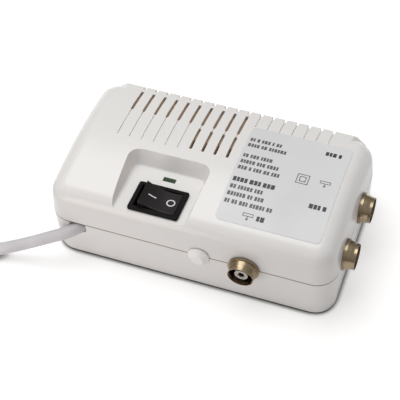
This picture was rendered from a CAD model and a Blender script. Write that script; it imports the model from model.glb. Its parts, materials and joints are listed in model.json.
import json
from math import cos, pi, radians, sin, sqrt

import bpy
from mathutils import Matrix, Vector


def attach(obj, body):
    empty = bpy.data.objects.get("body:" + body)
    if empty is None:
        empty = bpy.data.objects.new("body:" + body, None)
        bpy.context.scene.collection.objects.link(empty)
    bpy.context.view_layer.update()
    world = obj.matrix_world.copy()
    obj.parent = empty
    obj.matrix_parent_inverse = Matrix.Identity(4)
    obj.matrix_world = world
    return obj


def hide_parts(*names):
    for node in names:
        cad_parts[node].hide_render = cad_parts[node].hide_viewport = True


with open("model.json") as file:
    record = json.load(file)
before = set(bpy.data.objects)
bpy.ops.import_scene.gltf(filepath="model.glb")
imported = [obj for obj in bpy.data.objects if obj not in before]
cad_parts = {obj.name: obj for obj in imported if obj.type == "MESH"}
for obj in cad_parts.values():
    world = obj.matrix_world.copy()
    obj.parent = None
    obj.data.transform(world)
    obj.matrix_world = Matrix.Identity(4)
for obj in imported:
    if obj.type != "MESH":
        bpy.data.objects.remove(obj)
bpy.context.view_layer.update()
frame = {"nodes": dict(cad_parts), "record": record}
nodes = frame["nodes"]

# Camera, placed as the photograph's was
camera_place = Vector((0.1142, -0.2842, 0.4156))
camera_forward = Vector((-0.23639, 0.55708, -0.79610)).normalized()
camera_down = Vector((0.23881, -0.76089, -0.60334)).normalized()
camera_lens = 112.81
camera_sensor = 36.0
camera_near = 0.01
camera_far = 10.0

# Lamps and the world
soft_box_size = 0.55
soft_box_place = Vector((-0.16, 0.12, 0.62))
soft_box_watts = 2.15
soft_box_colour = (1.0, 0.99, 0.975)
side_box_size = 0.12
side_box_place = Vector((-0.09, -0.22, 0.04))
side_box_watts = 0.11
side_box_colour = (1.0, 0.915, 0.865)
aim_place = Vector((0.0, 0.0, 0.02))
world_low = 0.20
world_high = 0.56
world_turn_height = 0.75
world_low_tint = (1.0, 0.915, 0.865)
world_high_tint = (0.975, 0.99, 1.0)

# Floor, which darkens only in the narrow gap under the part
floor_half = 8.0
floor_colour = (0.80, 0.80, 0.80)
floor_glow = 0.40
floor_glow_colour = (1.0, 1.0, 1.0, 1.0)
floor_shade_reach = 0.004
floor_shade_samples = 12
floor_shade_edges = (0.45, 0.75)
floor_contact_colour = (0.035, 0.04, 0.038)

# Where the top is cut through, and how strongly the walls of the cuts take the tint.
# Each pair of edges is where a soft mask starts and where it ends, in metres.
cut_zone_edges = (0.046, 0.048)
rib_zone_edges = (0.0, 0.002)
groove_zone_edges = (0.0, 0.0005)
left_grooves_end = (-0.0128, -0.0122)
left_grooves_back = (0.0150, 0.0158)
right_grooves_start = (0.0074, 0.0080)
slots_back_edges = (0.0284, 0.0288)
recess_tint_share = 0.28
upright_wall_edges = (0.8, 0.93)

# The covers' inside, where a little daylight comes through the walls
inner_x_edges = (0.0465, 0.0470)
inner_front_edges = (0.0020, 0.0025)
inner_back_edges = (0.0312, 0.0315)
inner_top_edges = (0.0290, 0.0300)
inner_floor_edges = (0.0010, 0.0015)
inner_glow_colour = (1.0, 0.74, 0.52)
inner_glow_strength = 0.2

# What all the materials share
patch_edges = (0.3, 0.7)
patch_detail = 3.0
grain_detail = 5.0
even = (1.0, 1.0, 1.0)
coat_roughness = 0.12
subsurface_radius = (0.002, 0.0015, 0.001)

# Housing and label sizes, as in the part's source
housing_half_length = 0.0585
housing_half_depth = 0.033
housing_corner = 0.009
crown_radius = 0.128
crown_y = -0.0057
crown_centre_z = 0.0382 - crown_radius
label_thickness = 0.0002
label_left = 0.00955
label_right = 0.05075
label_front = -0.0255
label_back = 0.0228
print_lift = 0.00004
print_thickness = 0.00002

# Mains lead route and coil, as in the part's source
cable_diameter = 0.005
cable_heading = Vector((-0.6, -0.8, 0.0))
cable_exit = Vector((-0.0456, -0.0330, 0.0174))
cable_inside_stub = 0.0015
cable_section_steps = 6
cable_length_steps = 10
cable_spline_order = 3
lead_middle_points = [
    (-0.0477, -0.0358, 0.0174),
    (-0.0523, -0.0375, 0.0158),
    (-0.0602, -0.0393, 0.0114),
    (-0.0689, -0.0415, 0.0071),
    (-0.0778, -0.0444, 0.0042),
    (-0.0873, -0.0481, 0.0034),
    (-0.0963, -0.0502, 0.0035),
    (-0.1046, -0.0526, 0.0034),
]
lead_last_run = 0.0075
coil_middle = Vector((-0.1387, -0.0256, 0.0))
coil_outer_radius = 0.037
coil_pitch = 0.0055
coil_layer_rise = 0.0055
coil_low_height = 0.0034
coil_start_angle = -68.0
coil_end_angle = -90.0
coil_full_turns = 6
coil_points_per_turn = 16
coil_turns = coil_full_turns + (coil_start_angle - coil_end_angle) / 360
climb_half = 0.25
climb_start = coil_turns / 2 - climb_half
climb_end = coil_turns / 2 + climb_half
heading_step = 0.001
tail_first_run = 0.0075
tail_middle_points = [
    (-0.1643, -0.0553, 0.0115),
    (-0.1718, -0.0422, 0.0153),
    (-0.1717, -0.0272, 0.0187),
]
tail_last_run = 0.0075
plug_turn = 60.0

# Print on the label: share across, share up, then how many blocks each group has
fine_rows = [
    (0.03, 0.845, (2, 1, 3, 1, 2)),
    (0.03, 0.778, (4, 2, 6)),
    (0.03, 0.655, (2, 3, 4)),
    (0.03, 0.588, (5, 3, 4)),
    (0.03, 0.520, (3, 1, 3, 2, 3)),
    (0.03, 0.322, (2, 5, 3)),
    (0.03, 0.252, (6, 2, 3)),
    (0.03, 0.180, (2, 2, 3, 5, 2)),
]
bold_rows = [
    (0.03, 0.396, (4, 3, 3)),
    (0.76, 0.884, (3, 1)),
    (0.79, 0.312, (3, 1)),
    (0.375, 0.082, (2,)),
]
fine_block = (0.00088, 0.0018)
bold_block = (0.00125, 0.0021)
block_gap = 0.00032
group_gap = 0.0006
block_width_shares = (1.0, 0.8, 1.1, 0.9, 1.2)

# Signs on the label: a loop with an arrow under it, twice, and a square in a square
loop_sign_places = ((0.86, 0.566), (0.29, 0.095))
loop_half_width = 0.0021
loop_half_height = 0.0007
loop_line = 0.00025
arrow_stem = 0.0014
arrow_tip = 0.0018
arrow_base = 0.0009
arrow_half_width = 0.0006
square_sign_place = (0.648, 0.549)
square_half_sizes = (0.0024, 0.0013)
square_line = 0.0003

# The shaded line in the gap between the two covers
seam_low = 0.0202
seam_high = 0.0207
seam_inset = 0.00008
seam_thickness = 0.0002
seam_corner_steps = 12

# Marks on the rocker, laid on its hollow face
seat_origin = Vector((-0.0143, -0.0222, 0.0331))
recess_tilt = radians(5.8)
rocker_turn = radians(12.5)
pivot_depth = 0.0016
rocker_crease = 0.0031
rocker_arc = 0.01751
seat_x = Vector((1.0, 0.0, 0.0))
seat_z = Vector((0.0, sin(recess_tilt), cos(recess_tilt)))
seat_y = seat_z.cross(seat_x)
pivot = seat_origin - seat_z * pivot_depth
rocker_x = seat_x * cos(rocker_turn) - seat_z * sin(rocker_turn)
rocker_z = seat_z * cos(rocker_turn) + seat_x * sin(rocker_turn)
mark_line = 0.00045
mark_ring_radius = 0.0017
mark_ring_x = 0.0044
mark_bar_x = -0.0032
mark_bar_length = 0.0033
mark_steps = 40


def link(name, data):
    piece = bpy.data.objects.new(name, data)
    bpy.context.scene.collection.objects.link(piece)
    return piece


# Camera, lamps, floor and world
def set_camera():
    data = bpy.data.cameras.new("photo_camera")
    data.lens = camera_lens
    data.sensor_width = camera_sensor
    data.clip_start = camera_near
    data.clip_end = camera_far
    piece = link("photo_camera", data)
    right = camera_forward.cross(-camera_down).normalized()
    up = right.cross(camera_forward).normalized()
    turn = Matrix((right, up, -camera_forward)).transposed().to_4x4()
    piece.matrix_world = Matrix.Translation(camera_place) @ turn
    bpy.context.scene.camera = piece


def add_lamp(name, place, size, watts, colour):
    """A round soft lamp that faces the part."""
    data = bpy.data.lights.new(name, "AREA")
    data.shape = "DISK"
    data.size = size
    data.energy = watts
    data.color = colour
    piece = link(name, data)
    piece.location = place
    piece.rotation_euler = (aim_place - place).to_track_quat("-Z", "Y").to_euler()


class Nodes:
    """A node tree with short calls to add and join nodes."""

    def __init__(self, tree, output_kind):
        self.tree = tree
        self.tree.nodes.clear()
        self.out = self.add(output_kind)

    def add(self, kind, **settings):
        node = self.tree.nodes.new(kind)
        for key, value in settings.items():
            setattr(node, key, value)
        return node

    def join(self, source, target):
        self.tree.links.new(source, target)

    def split(self, vector):
        """The X, Y and Z of a vector."""
        node = self.add("ShaderNodeSeparateXYZ")
        self.join(vector, node.inputs[0])
        return node.outputs["X"], node.outputs["Y"], node.outputs["Z"]

    def noise(self, scale, detail, stretch):
        place = self.add("ShaderNodeTexCoord")
        turn = self.add("ShaderNodeMapping")
        turn.inputs["Scale"].default_value = stretch
        self.join(place.outputs["Object"], turn.inputs["Vector"])
        node = self.add("ShaderNodeTexNoise")
        node.inputs["Scale"].default_value = scale
        node.inputs["Detail"].default_value = detail
        self.join(turn.outputs["Vector"], node.inputs["Vector"])
        return node.outputs["Fac"]

    def spread(self, value, low, high, start, end):
        """Maps a value from start and end to low and high."""
        node = self.add("ShaderNodeMapRange")
        node.inputs["From Min"].default_value = start
        node.inputs["From Max"].default_value = end
        node.inputs["To Min"].default_value = low
        node.inputs["To Max"].default_value = high
        self.join(value, node.inputs["Value"])
        return node.outputs["Result"]

    def past(self, value, edges):
        """Rises from 0 to 1 where a value passes the edges."""
        return self.spread(value, 0.0, 1.0, *edges)

    def before(self, value, edges):
        """Falls from 1 to 0 where a value passes the edges."""
        return self.spread(value, 1.0, 0.0, *edges)

    def blend(self, share, first, second):
        """Mixes two colours, each a tuple or a socket."""
        node = self.add("ShaderNodeMix", data_type="RGBA")
        colours = [socket for socket in node.inputs if socket.type == "RGBA"]
        for socket, value in zip(colours, (first, second)):
            if isinstance(value, tuple):
                socket.default_value = (*value, 1.0)
            else:
                self.join(value, socket)
        self.join(share, node.inputs[0])
        return [socket for socket in node.outputs if socket.type == "RGBA"][0]

    def calculate(self, operation, first, *others):
        """Takes the values in turn through one operation."""
        result = first
        for other in others or (None,):
            node = self.add("ShaderNodeMath", operation=operation)
            self.join(result, node.inputs[0])
            if isinstance(other, float):
                node.inputs[1].default_value = other
            elif other is not None:
                self.join(other, node.inputs[1])
            result = node.outputs[0]
        return result

    def absolute(self, value):
        return self.calculate("ABSOLUTE", value)

    def times(self, *values):
        return self.calculate("MULTIPLY", *values)

    def greatest(self, *values):
        return self.calculate("MAXIMUM", *values)

    def bump(self, height, strength, distance):
        node = self.add("ShaderNodeBump")
        node.inputs["Strength"].default_value = strength
        node.inputs["Distance"].default_value = distance
        self.join(height, node.inputs["Height"])
        return node.outputs["Normal"]


def new_material(name):
    """An empty material and its nodes."""
    material = bpy.data.materials.new(name)
    material.use_nodes = True
    return material, Nodes(material.node_tree, "ShaderNodeOutputMaterial")


def floor_material():
    """Pale floor that takes shadows and shows white to the camera and to mirrors."""
    material, made = new_material("studio_floor")
    matte = made.add("ShaderNodeBsdfDiffuse")
    openness = made.add("ShaderNodeAmbientOcclusion", samples=floor_shade_samples)
    openness.inputs["Distance"].default_value = floor_shade_reach
    clear = made.past(openness.outputs["AO"], floor_shade_edges)
    made.join(made.blend(clear, floor_contact_colour, floor_colour), matte.inputs["Color"])
    glow = made.add("ShaderNodeEmission")
    glow.inputs["Color"].default_value = floor_glow_colour
    ray = made.add("ShaderNodeLightPath")
    kinds = ("Is Camera Ray", "Is Glossy Ray", "Is Transmission Ray")
    seen = made.greatest(*(ray.outputs[kind] for kind in kinds))
    made.join(made.times(seen, floor_glow, clear), glow.inputs["Strength"])
    both = made.add("ShaderNodeAddShader")
    made.join(matte.outputs[0], both.inputs[0])
    made.join(glow.outputs[0], both.inputs[1])
    made.join(both.outputs[0], made.out.inputs["Surface"])
    return material


def set_floor():
    mesh = bpy.data.meshes.new("studio_floor")
    corners = [(-floor_half, -floor_half, 0), (floor_half, -floor_half, 0)]
    corners += [(floor_half, floor_half, 0), (-floor_half, floor_half, 0)]
    mesh.from_pydata(corners, [], [(0, 1, 2, 3)])
    floor = link("studio_floor", mesh)
    mesh.materials.append(floor_material())


def set_world():
    """Plain light that grows brighter and cooler from the horizon up."""
    world = bpy.data.worlds.new("studio_world")
    bpy.context.scene.world = world
    world.use_nodes = True
    made = Nodes(world.node_tree, "ShaderNodeOutputWorld")
    back = made.add("ShaderNodeBackground")
    place = made.add("ShaderNodeTexCoord")
    height = made.split(place.outputs["Generated"])[2]
    level = made.spread(height, world_low, world_high, 0.0, world_turn_height)
    made.join(level, back.inputs["Strength"])
    made.join(made.blend(height, world_low_tint, world_high_tint), back.inputs["Color"])
    made.join(back.outputs[0], made.out.inputs["Surface"])


def set_studio():
    set_floor()
    add_lamp("soft_box", soft_box_place, soft_box_size, soft_box_watts, soft_box_colour)
    add_lamp("side_box", side_box_place, side_box_size, side_box_watts, side_box_colour)
    set_world()
    bpy.context.scene.view_settings.view_transform = "Standard"


# Materials of the part
def beside_grooves(made, x, y):
    """Zero over the grooves that open into no slot and the back notches, one elsewhere."""
    in_ribs = made.past(y, groove_zone_edges)
    right = made.times(in_ribs, made.past(x, right_grooves_start))
    left = made.times(in_ribs, made.before(x, left_grooves_end), made.before(y, left_grooves_back))
    not_right = made.before(right, (0.0, 1.0))
    not_left = made.before(left, (0.0, 1.0))
    return made.times(not_right, not_left, made.before(y, slots_back_edges))


def tint_cut_walls(made, colour, wall_colour):
    """Tints the side walls of the slots and recess, which face along X inside the top."""
    place = made.add("ShaderNodeTexCoord")
    facing = made.split(place.outputs["Normal"])[0]
    x, y, _ = made.split(place.outputs["Object"])
    upright = made.past(made.absolute(facing), upright_wall_edges)
    inside = made.before(made.absolute(x), cut_zone_edges)
    in_ribs = made.spread(y, recess_tint_share, 1.0, *rib_zone_edges)
    share = made.times(upright, inside, in_ribs, beside_grooves(made, x, y))
    return made.blend(share, colour, wall_colour)


def inner_glow(made):
    """The daylight that the thin walls let through, only on the faces inside the covers."""
    place = made.add("ShaderNodeTexCoord")
    x, y, z = made.split(place.outputs["Object"])
    return made.times(
        made.before(made.absolute(x), inner_x_edges),
        made.before(y, inner_back_edges),
        made.before(z, inner_top_edges),
        made.past(y, inner_front_edges),
        made.spread(z, 0.0, inner_glow_strength, *inner_floor_edges),
    )


def surface(
    name,
    colour,
    second,
    roughness=(0.25, 0.4),
    metallic=0.0,
    patch_scale=60.0,
    grain_scale=900.0,
    grain=0.15,
    grain_height=0.00005,
    stretch=even,
    coat=0.0,
    transmission=0.0,
    subsurface=0.0,
    specular=0.5,
    wall_tint=None,
):
    """A material whose colour and roughness drift in patches over a fine grain."""
    material, made = new_material(name)
    shader = made.add("ShaderNodeBsdfPrincipled")
    patches = made.noise(patch_scale, patch_detail, stretch)
    grains = made.noise(grain_scale, grain_detail, stretch)
    tint = made.blend(made.past(patches, patch_edges), colour, second)
    if wall_tint:
        tint = tint_cut_walls(made, tint, wall_tint)
        shader.inputs["Emission Color"].default_value = (*inner_glow_colour, 1.0)
        made.join(inner_glow(made), shader.inputs["Emission Strength"])
    made.join(tint, shader.inputs["Base Color"])
    made.join(made.spread(patches, *roughness, *patch_edges), shader.inputs["Roughness"])
    made.join(made.bump(grains, grain, grain_height), shader.inputs["Normal"])
    shader.inputs["Metallic"].default_value = metallic
    shader.inputs["Coat Weight"].default_value = coat
    shader.inputs["Coat Roughness"].default_value = coat_roughness
    shader.inputs["Transmission Weight"].default_value = transmission
    shader.inputs["Specular IOR Level"].default_value = specular
    shader.inputs["Subsurface Weight"].default_value = subsurface
    shader.inputs["Subsurface Radius"].default_value = subsurface_radius
    made.join(shader.outputs["BSDF"], made.out.inputs["Surface"])
    return material


# Each material's two colours, and where it differs from what surface takes by default
looks = {
    "cover_plastic": dict(
        colour=(0.795, 0.787, 0.777), second=(0.78, 0.77, 0.76), roughness=(0.275, 0.305),
        patch_scale=12.0, grain_scale=1100.0, grain=0.02, grain_height=0.000001, coat=0.1,
        wall_tint=(0.74, 0.64, 0.54),
    ),
    "seam_shade": dict(
        colour=(0.12, 0.066, 0.032), second=(0.15, 0.085, 0.045), roughness=(0.5, 0.7),
    ),
    "label_foil": dict(
        colour=(0.725, 0.735, 0.75), second=(0.645, 0.655, 0.67), roughness=(0.38, 0.5),
        patch_scale=25.0, grain_scale=2500.0, grain=0.06, grain_height=0.00001,
    ),
    "switch_plastic": dict(
        colour=(0.006, 0.0045, 0.0045), second=(0.009, 0.007, 0.007), roughness=(0.3, 0.42),
        grain_scale=2200.0, grain=0.2, grain_height=0.00001, specular=0.08,
    ),
    "rocker_plastic": dict(
        colour=(0.009, 0.0065, 0.0075), second=(0.013, 0.0095, 0.0105), roughness=(0.2, 0.3),
        grain_scale=2000.0, grain=0.08, grain_height=0.00001, coat=0.08, specular=0.3,
    ),
    "led_lens": dict(
        colour=(0.009, 0.036, 0.010), second=(0.014, 0.052, 0.015), roughness=(0.12, 0.2),
        patch_scale=700.0, grain=0.05, coat=0.5,
    ),
    "nickel": dict(
        colour=(0.36, 0.285, 0.19), second=(0.27, 0.215, 0.14), roughness=(0.2, 0.32),
        metallic=1.0, patch_scale=220.0, grain_scale=3000.0, grain=0.12, grain_height=0.00001,
    ),
    "insulator_plastic": dict(
        colour=(0.50, 0.48, 0.47), second=(0.45, 0.435, 0.42), roughness=(0.4, 0.55),
        subsurface=0.05,
    ),
    "contact_brass": dict(
        colour=(0.62, 0.52, 0.36), second=(0.5, 0.4, 0.26), roughness=(0.2, 0.35),
        metallic=1.0, patch_scale=400.0,
    ),
    "plug_white": dict(
        colour=(0.90, 0.89, 0.88), second=(0.87, 0.86, 0.85), roughness=(0.3, 0.4),
        grain_scale=1500.0, grain=0.08, grain_height=0.00002, subsurface=0.05,
    ),
    "screw_steel": dict(
        colour=(0.5, 0.49, 0.46), second=(0.4, 0.4, 0.4), roughness=(0.25, 0.45), metallic=1.0,
    ),
    "board": dict(colour=(0.36, 0.24, 0.09), second=(0.3, 0.2, 0.08), roughness=(0.4, 0.6)),
    "core_steel": dict(
        colour=(0.16, 0.16, 0.18), second=(0.1, 0.1, 0.11), roughness=(0.35, 0.6),
        metallic=0.6, patch_scale=90.0, stretch=(1.0, 14.0, 1.0),
    ),
    "bobbin_plastic": dict(colour=(0.68, 0.64, 0.54), second=(0.6, 0.56, 0.47)),
    "winding_tape": dict(
        colour=(0.62, 0.5, 0.1), second=(0.55, 0.42, 0.07), stretch=(1.0, 1.0, 6.0),
    ),
    "tinned_steel": dict(
        colour=(0.6, 0.6, 0.6), second=(0.5, 0.5, 0.5), roughness=(0.25, 0.5), metallic=1.0,
    ),
    "component_black": dict(
        colour=(0.02, 0.02, 0.02), second=(0.03, 0.03, 0.03), roughness=(0.5, 0.7),
    ),
    "ferrite": dict(
        colour=(0.05, 0.05, 0.055), second=(0.08, 0.08, 0.085), roughness=(0.5, 0.7),
    ),
    "capacitor_sleeve": dict(colour=(0.02, 0.03, 0.12), second=(0.015, 0.025, 0.1)),
    "fuse_glass": dict(
        colour=(0.8, 0.85, 0.84), second=(0.8, 0.85, 0.84), roughness=(0.03, 0.06),
        transmission=0.85,
    ),
    "lead_jacket": dict(
        colour=(0.635, 0.62, 0.65), second=(0.56, 0.55, 0.58), roughness=(0.38, 0.5),
        patch_scale=90.0, grain_scale=1800.0, grain=0.12, grain_height=0.00003,
        subsurface=0.05,
    ),
    "core_insulation": dict(colour=(0.2, 0.09, 0.04), second=(0.16, 0.07, 0.03)),
    "clamp_plastic": dict(colour=(0.62, 0.61, 0.58), second=(0.58, 0.57, 0.54)),
    "tie_plastic": dict(
        colour=(0.58, 0.58, 0.57), second=(0.52, 0.52, 0.51), roughness=(0.35, 0.5), grain=0.3,
    ),
    "plug_body": dict(
        colour=(0.70, 0.69, 0.68), second=(0.66, 0.65, 0.64), roughness=(0.4, 0.55),
        patch_scale=50.0, grain_scale=1600.0, grain=0.3, grain_height=0.00004,
        subsurface=0.04,
    ),
    "plug_pin": dict(
        colour=(0.62, 0.58, 0.5), second=(0.52, 0.48, 0.42), roughness=(0.18, 0.3),
        metallic=1.0, patch_scale=300.0,
    ),
    "print_dark": dict(
        colour=(0.10, 0.093, 0.095), second=(0.14, 0.13, 0.13), roughness=(0.4, 0.55),
        patch_scale=1500.0,
    ),
    "print_bold": dict(
        colour=(0.03, 0.027, 0.03), second=(0.06, 0.055, 0.055), roughness=(0.4, 0.55),
        patch_scale=1500.0,
    ),
    "print_white": dict(
        colour=(0.80, 0.79, 0.80), second=(0.7, 0.69, 0.7), roughness=(0.4, 0.55),
        patch_scale=2000.0,
    ),
}


def dress():
    """Gives each node of the frame the material of its slot."""
    for row in frame["record"]["subparts"]:
        node = nodes[row["node"]]
        node.data.materials.clear()
        node.data.materials.append(materials[row["material_slot"]])


# The mains lead, one spline from the housing to the plug
def coil_place(turn):
    """The coil's centre line after a number of turns."""
    from_end = min(turn, coil_turns - turn)
    radius = coil_outer_radius - coil_pitch * min(from_end, climb_start)
    if from_end > climb_start:
        past = from_end - climb_start
        radius -= coil_pitch * past - 2 * coil_pitch * past**2
    climb = min(max((turn - climb_start) / (climb_end - climb_start), 0), 1)
    height = coil_low_height + coil_layer_rise * climb**2 * (3 - 2 * climb)
    angle = radians(coil_start_angle - 360 * turn)
    return coil_middle + Vector((radius * cos(angle), radius * sin(angle), height))


def coil_heading(turn):
    return (coil_place(turn + heading_step) - coil_place(turn - heading_step)).normalized()


def lead_points():
    """The spline's points: the lead's run, the coil and the tail into the plug."""
    points = [cable_exit - cable_heading * cable_inside_stub]
    points += [Vector(point) for point in lead_middle_points]
    arriving = coil_heading(0)
    points.append(coil_place(0) - arriving * (cable_diameter + lead_last_run))
    count = round(coil_turns * coil_points_per_turn)
    points += [coil_place(k * coil_turns / count) for k in range(count + 1)]
    leaving = coil_heading(coil_turns)
    points.append(coil_place(coil_turns) + leaving * (cable_diameter + tail_first_run))
    points += [Vector(point) for point in tail_middle_points]
    turn = radians(plug_turn)
    points.append(points[-1] + Vector((cos(turn), sin(turn), 0)) * tail_last_run)
    return points


def make_lead():
    data = bpy.data.curves.new("mains_lead", "CURVE")
    data.dimensions = "3D"
    data.bevel_depth = cable_diameter / 2
    data.bevel_resolution = cable_section_steps
    data.resolution_u = cable_length_steps
    data.use_fill_caps = True
    spline = data.splines.new("NURBS")
    points = lead_points()
    spline.points.add(len(points) - 1)
    for place, point in zip(spline.points, points):
        place.co = (*point, 1.0)
    spline.order_u = cable_spline_order
    spline.use_endpoint_u = True
    data.materials.append(materials["lead_jacket"])
    lead = link("mains_lead", data)
    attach(lead, "housing")
    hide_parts("mains_cable", "mains_cable_coil", "mains_cable_tail")


class Shapes:
    """Corners and faces of one mesh, gathered shape by shape."""

    def __init__(self):
        self.corners = []
        self.faces = []

    def lay(self, outline):
        """Adds one closed thin print shape, from points (x, y) on the label."""
        start = len(self.corners)
        count = len(outline)
        for lift in (print_lift, print_lift + print_thickness):
            self.corners += [(x, y, crown_height_at(y) + lift) for x, y in outline]
        self.faces.append(tuple(start + count + k for k in range(count)))
        self.faces.append(tuple(start + count - 1 - k for k in range(count)))
        for k in range(count):
            low, low_after = start + k, start + (k + 1) % count
            self.faces.append((low, low_after, low_after + count, low + count))

    def wall(self, edges, count, closed=True):
        """Adds a strip between two edges, each with its low row and its high row of corners."""
        low_a, high_a, low_b, high_b = edges
        for k in range(count if closed else count - 1):
            after = (k + 1) % count
            for first, second in (
                (high_a, high_b),
                (low_b, low_a),
                (low_a, high_a),
                (high_b, low_b),
            ):
                self.faces.append((first + k, first + after, second + after, second + k))

    def make(self, name, material, body):
        mesh = bpy.data.meshes.new(name)
        mesh.from_pydata(self.corners, [], self.faces)
        mesh.materials.append(materials[material])
        mesh.update()
        piece = link(name, mesh)
        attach(piece, body)


# Print on the label
def crown_height_at(y):
    """The height of the label's face at a place from front to back."""
    radius = crown_radius + label_thickness
    return crown_centre_z + sqrt(radius**2 - (y - crown_y) ** 2)


def label_place(across, up):
    """A point on the label from its shares across and up the label."""
    x = label_left + across * (label_right - label_left)
    y = label_front + up * (label_back - label_front)
    return x, y


def bar(left, bottom, right, top):
    return [(left, bottom), (right, bottom), (right, top), (left, top)]


def frame_bars(x, y, half_width, half_height, line):
    """Four thin bars that frame a rectangle round a point."""
    left, right = x - half_width, x + half_width
    bottom, top = y - half_height, y + half_height
    return [
        bar(left, bottom, right, bottom + line),
        bar(left, top - line, right, top),
        bar(left, bottom + line, left + line, top - line),
        bar(right - line, bottom + line, right, top - line),
    ]


def lay_rows(shapes, rows, block):
    """Lays groups of plain blocks, a little uneven in width, along each row."""
    width, height = block
    count = 0
    for across, up, groups in rows:
        x, y = label_place(across, up)
        for group in groups:
            for _ in range(group):
                reach = width * block_width_shares[count % len(block_width_shares)]
                shapes.lay(bar(x, y - height / 2, x + reach, y + height / 2))
                x += reach + block_gap
                count += 1
            x += group_gap


def lay_loop_sign(shapes, across, up):
    """A small folded loop with a stem and an arrow head under it."""
    x, y = label_place(across, up)
    for shape in frame_bars(x, y, loop_half_width, loop_half_height, loop_line):
        shapes.lay(shape)
    under = y - loop_half_height
    shapes.lay(bar(x - loop_line / 2, under - arrow_stem, x + loop_line / 2, under))
    shapes.lay([
        (x, under - arrow_tip),
        (x + arrow_half_width, under - arrow_base),
        (x - arrow_half_width, under - arrow_base),
    ])


def make_label_print():
    fine = Shapes()
    lay_rows(fine, fine_rows, fine_block)
    for across, up in loop_sign_places:
        lay_loop_sign(fine, across, up)
    fine.make("label_fine_print", "print_dark", "housing")
    bold = Shapes()
    lay_rows(bold, bold_rows, bold_block)
    bold.make("label_bold_print", "print_bold", "housing")
    squares = Shapes()
    x, y = label_place(*square_sign_place)
    for half in square_half_sizes:
        for shape in frame_bars(x, y, half, half, square_line):
            squares.lay(shape)
    squares.make("label_square_sign", "print_dark", "housing")


# The shaded line between the covers
def seam_outline(inset):
    """The housing's rounded outline at the parting, drawn in by inset."""
    points = []
    radius = housing_corner - inset
    for number, (side_x, side_y) in enumerate(((1, 1), (-1, 1), (-1, -1), (1, -1))):
        middle_x = side_x * (housing_half_length - housing_corner)
        middle_y = side_y * (housing_half_depth - housing_corner)
        for step in range(seam_corner_steps + 1):
            angle = (number + step / seam_corner_steps) * pi / 2
            points.append((middle_x + radius * cos(angle), middle_y + radius * sin(angle)))
    return points


def make_seam():
    seam = Shapes()
    outer = seam_outline(seam_inset)
    inner = seam_outline(seam_inset + seam_thickness)
    for edge in (outer, inner):
        for height in (seam_low, seam_high):
            seam.corners += [(x, y, height) for x, y in edge]
    count = len(outer)
    seam.wall([number * count for number in range(4)], count)
    seam.make("seam_line", "seam_shade", "housing")


# Marks on the rocker
def rocker_point(x, y, lift):
    """A point over the rocker's face, from its place along and across it."""
    height = rocker_crease + rocker_arc - sqrt(rocker_arc**2 - x**2) + lift
    return tuple(pivot + rocker_x * x + seat_y * y + rocker_z * height)


def make_mark(name, edges, closed):
    """A thin printed strip between two edges, each a list of places (x, y) on the rocker."""
    mark = Shapes()
    for edge in edges:
        for lift in (-print_lift, print_lift):
            mark.corners += [rocker_point(x, y, lift) for x, y in edge]
    count = len(edges[0])
    rows = [number * count for number in range(4)]
    mark.wall(rows, count, closed)
    if not closed:
        low_a, high_a, low_b, high_b = rows
        end = count - 1
        mark.faces.append((low_a, high_a, high_b, low_b))
        mark.faces.append((low_b + end, high_b + end, high_a + end, low_a + end))
    mark.make(name, "print_white", "rocker")


def make_rocker_marks():
    angles = [2 * pi * k / mark_steps for k in range(mark_steps)]
    rings = [
        [(mark_ring_x + radius * cos(angle), radius * sin(angle)) for angle in angles]
        for radius in (mark_ring_radius, mark_ring_radius - mark_line)
    ]
    make_mark("rocker_ring_mark", rings, closed=True)
    shares = [k / (mark_steps - 1) - 0.5 for k in range(mark_steps)]
    edges = [
        [(mark_bar_x + share * mark_bar_length, side * mark_line / 2) for share in shares]
        for side in (-1, 1)
    ]
    make_mark("rocker_bar_mark", edges, closed=False)


set_camera()
set_studio()
materials = {name: surface(name, **look) for name, look in looks.items()}
dress()
make_lead()
make_label_print()
make_seam()
make_rocker_marks()
